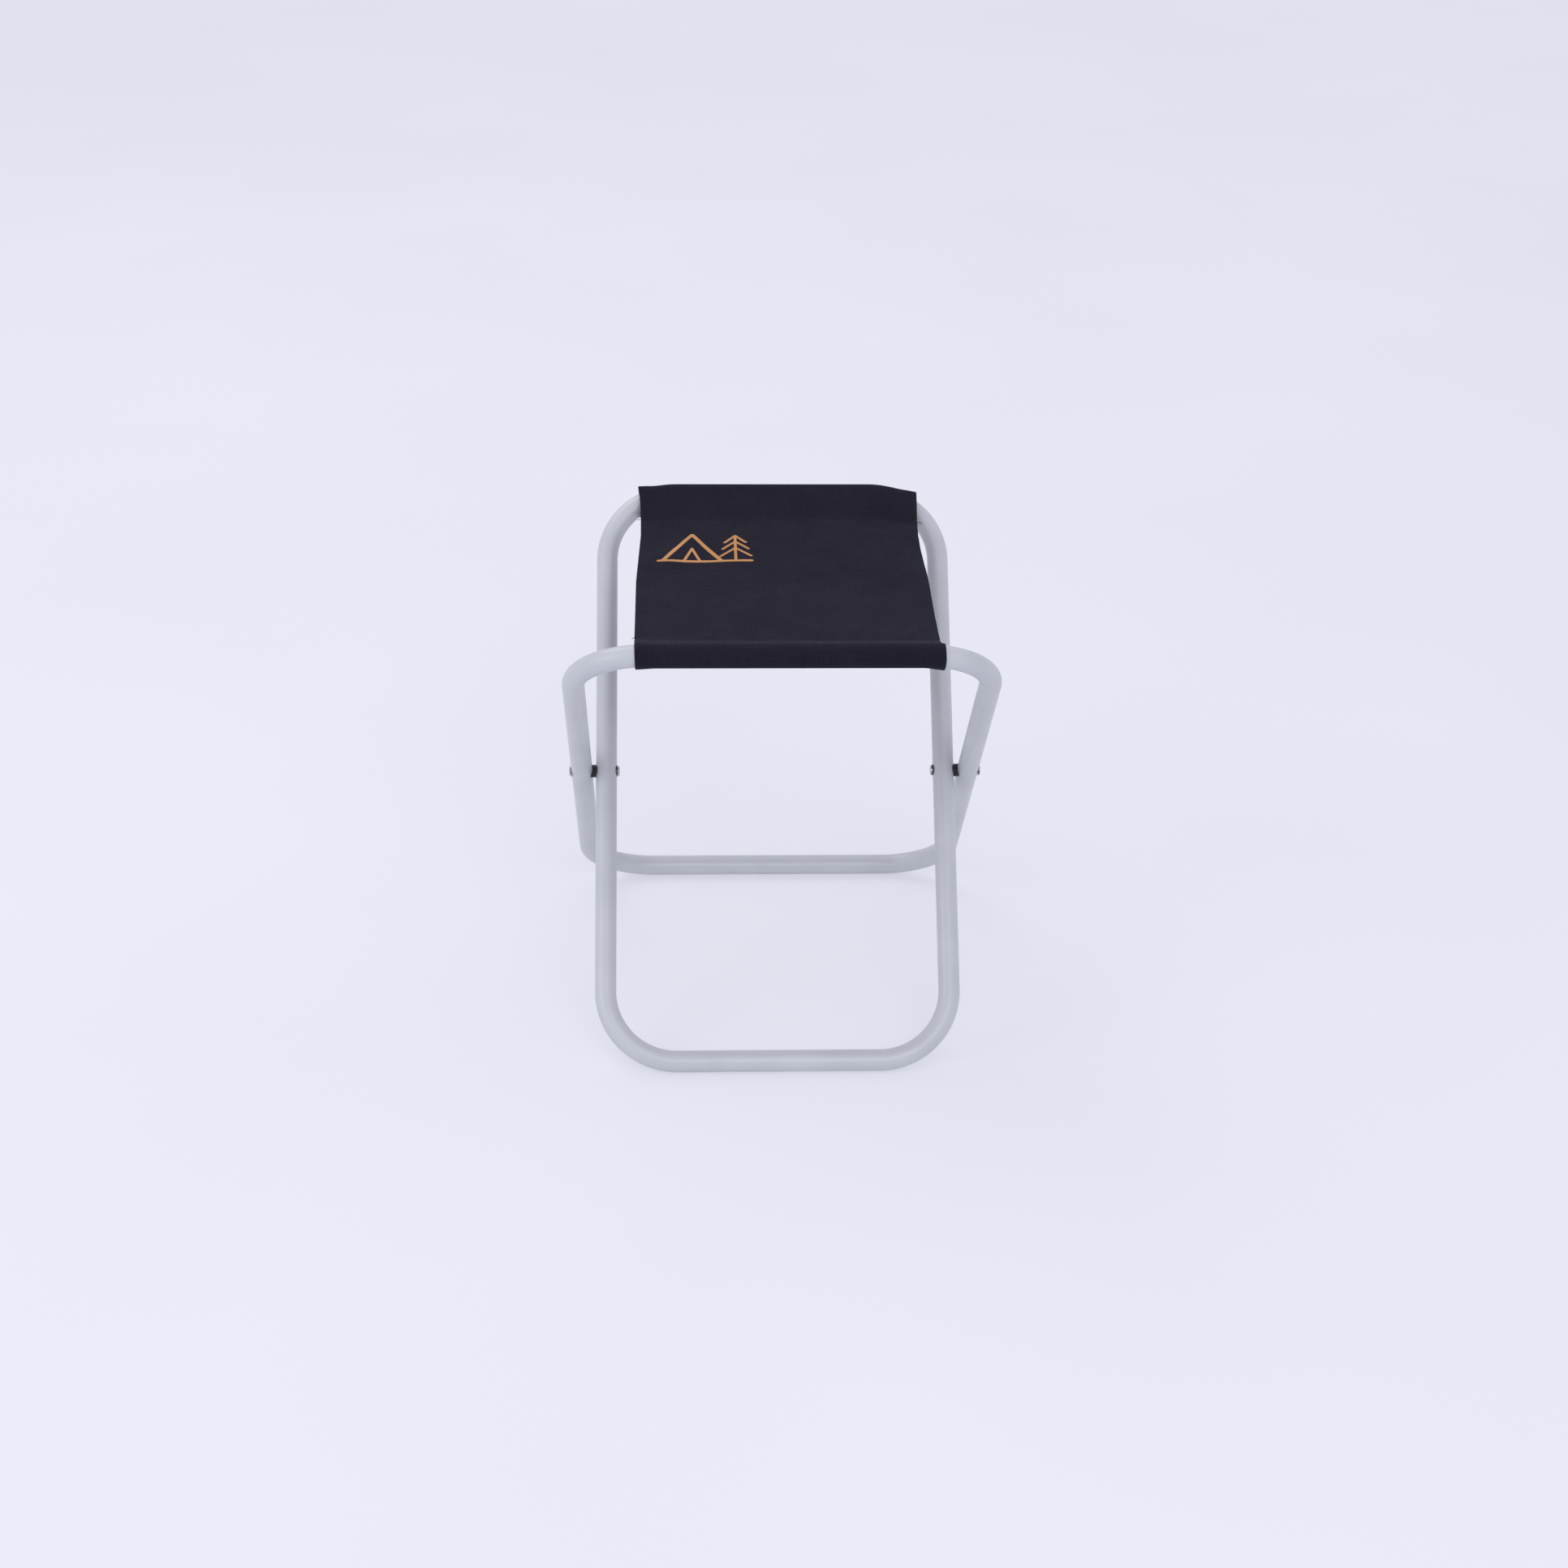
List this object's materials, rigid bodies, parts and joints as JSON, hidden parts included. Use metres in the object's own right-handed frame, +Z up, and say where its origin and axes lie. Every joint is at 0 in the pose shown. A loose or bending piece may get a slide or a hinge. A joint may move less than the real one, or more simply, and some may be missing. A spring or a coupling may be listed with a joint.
{
  "type": "camp stool",
  "caption": "Folding stool: two crossed loops of bent round tube, riveted where they cross, with a cloth seat sewn round both top bars.",
  "frame": {"origin": "on the floor, under the middle of the stool", "axes": "+Z up, +Y towards the rear bar of the seat, +X to the right, along the fold axis"},
  "size_m": [0.354, 0.3572, 0.3936],
  "materials": {
    "powder_coat": "satin light grey powder coat",
    "steel": "bright plated steel",
    "dark_steel": "dark plated steel",
    "black_plastic": "moulded black nylon",
    "seat_cloth": "matte woven polyester, near black",
    "hem_cloth": "the same cloth, folded and stitched"
  },
  "bodies": {
    "outer_frame": {"outer_frame_tube": "powder_coat", "outer_frame_joiner": "steel", "left_pivot_rivet": "steel", "right_pivot_rivet": "steel", "left_outer_rivet_washer": "dark_steel", "right_outer_rivet_washer": "dark_steel", "left_outer_saddle_washer": "black_plastic", "right_outer_saddle_washer": "black_plastic", "front_sleeve": "seat_cloth"},
    "inner_frame": {"inner_frame_tube": "powder_coat", "inner_frame_joiner": "steel", "left_inner_rivet_washer": "dark_steel", "right_inner_rivet_washer": "dark_steel", "left_inner_saddle_washer": "black_plastic", "right_inner_saddle_washer": "black_plastic", "rear_sleeve": "seat_cloth"},
    "seat_front": {"seat_front_panel": "seat_cloth", "seat_front_left_hem": "hem_cloth", "seat_front_right_hem": "hem_cloth"},
    "seat_rear": {"seat_rear_panel": "seat_cloth", "seat_rear_left_hem": "hem_cloth", "seat_rear_right_hem": "hem_cloth"}
  },
  "joints": [
    {"name": "fold", "type": "hinge", "parent": "outer_frame", "child": "inner_frame", "pos_m": [0, 0, 0.196], "axis": [1, 0, 0], "range_deg": [0, 76], "deforming": ["front_sleeve", "rear_sleeve"]},
    {"name": "seat_front_hang", "type": "hinge", "parent": "outer_frame", "child": "seat_front", "pos_m": [0, -0.168, 0.383], "axis": [1, 0, 0], "range_deg": [-44, 0], "deforming": ["seat_front_panel", "seat_front_left_hem", "seat_front_right_hem"]},
    {"name": "seat_rear_hang", "type": "hinge", "parent": "inner_frame", "child": "seat_rear", "pos_m": [0, 0.168, 0.383], "axis": [1, 0, 0], "range_deg": [0, 44], "deforming": ["seat_rear_panel", "seat_rear_left_hem", "seat_rear_right_hem"]}
  ],
  "couplings": [
    {"joint": "seat_front_hang", "follows": "fold", "ratio": -0.5751},
    {"joint": "seat_rear_hang", "follows": "fold", "ratio": 0.5751}
  ]
}
